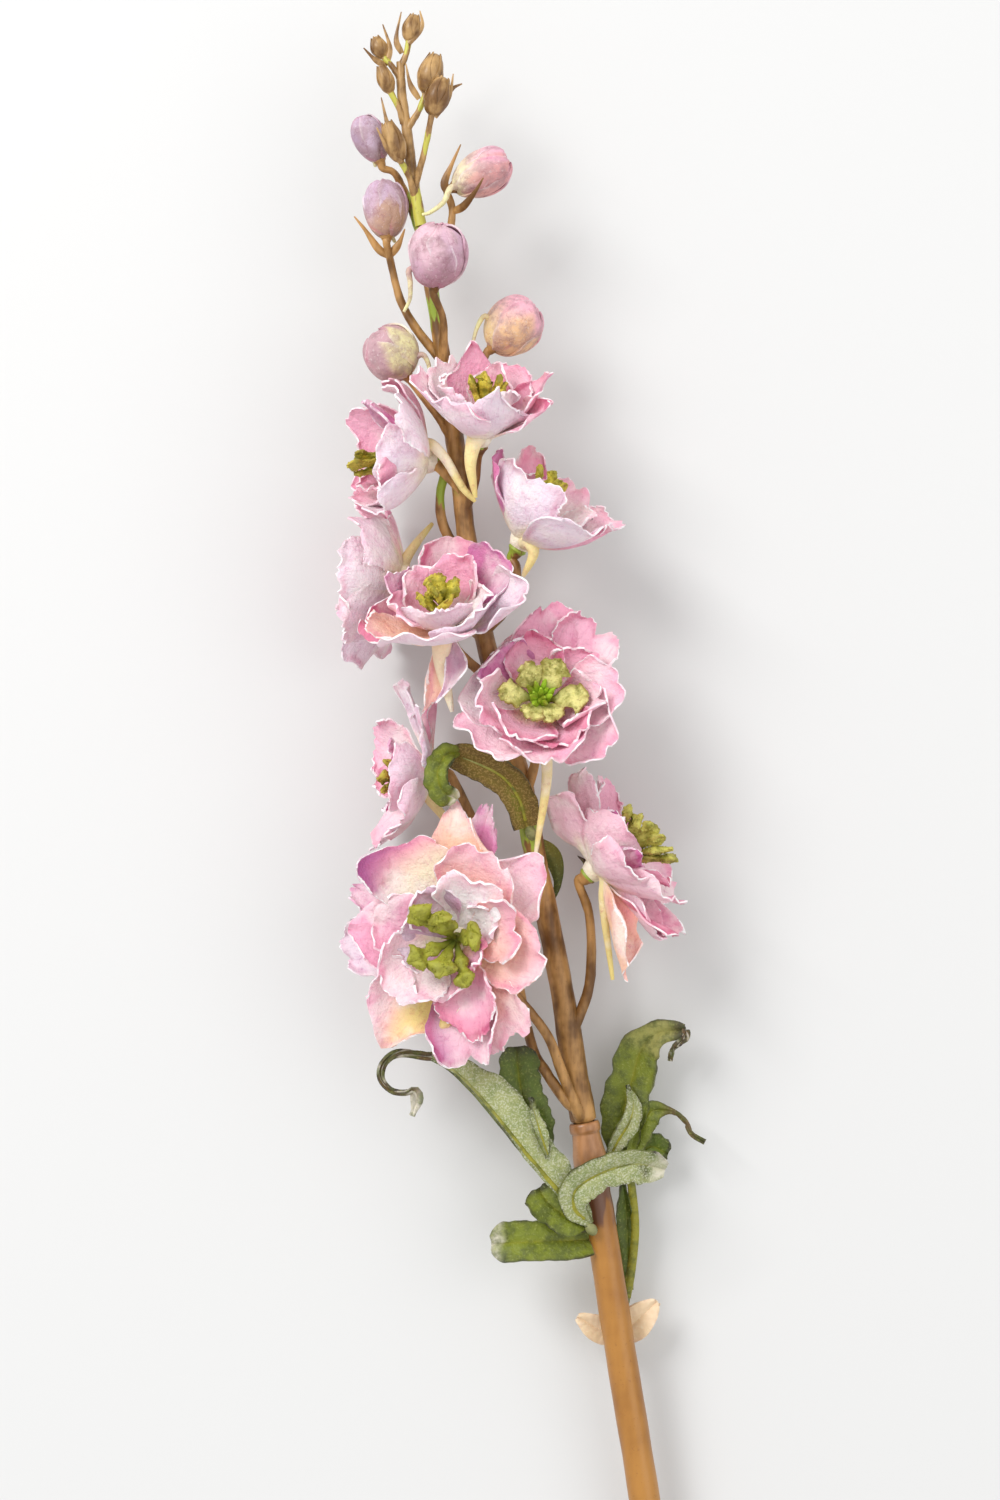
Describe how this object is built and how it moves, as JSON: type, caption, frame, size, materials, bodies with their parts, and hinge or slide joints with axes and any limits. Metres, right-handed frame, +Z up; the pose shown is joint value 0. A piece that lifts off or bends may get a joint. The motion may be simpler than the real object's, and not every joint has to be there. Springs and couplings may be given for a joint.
{
  "type": "dried delphinium stem",
  "caption": "Tall cut flower stem laid on its side, with ruffled double blooms, round buds and a pointed tip on a slim branching axis, and lobed leaves low down.",
  "frame": {"origin": "centre of the bounding box in plan, on the surface that the stem lies on", "axes": "+Y along the stem from its cut end to the tip, +Z up from the surface to the flowers that face the viewer, +X to the right as seen from above with the tip away"},
  "size_m": [0.0856, 0.4564, 0.0481],
  "materials": {
    "petal": "matt pink sheet with frosted edges",
    "stamen": "matt yellow-green",
    "bud": "matt mauve pink",
    "stalk": "satin mauve-brown paint",
    "tip": "satin golden brown paint",
    "lower_paint": "satin orange-brown paint",
    "leaf": "matt green, flocked underside",
    "bract": "matt cream",
    "wire": "drawn steel"
  },
  "bodies": {
    "root": {"stem_lower": "lower_paint", "stem_wire": "wire", "stem_sleeve": "stalk", "spike_axis": "stalk", "spike_tip": "tip", "bud_1": "bud", "bud_2": "bud", "bud_3": "bud", "bud_4": "bud", "bud_5": "bud", "bud_6": "bud", "bloom_1": "petal", "bloom_2": "petal", "bloom_3": "petal", "bloom_4": "petal", "bloom_5": "petal", "bloom_6": "petal", "bloom_7": "petal", "bloom_8": "petal", "bloom_9": "petal", "stamens_1": "stamen", "stamens_2": "stamen", "stamens_3": "stamen", "stamens_4": "stamen", "stamens_5": "stamen", "stamens_6": "stamen", "stamens_7": "stamen", "stamens_8": "stamen", "stamens_9": "stamen", "leaf_upper": "leaf", "leaf_front": "leaf", "leaf_back": "leaf", "base_bract": "bract"}
  },
  "joints": []
}
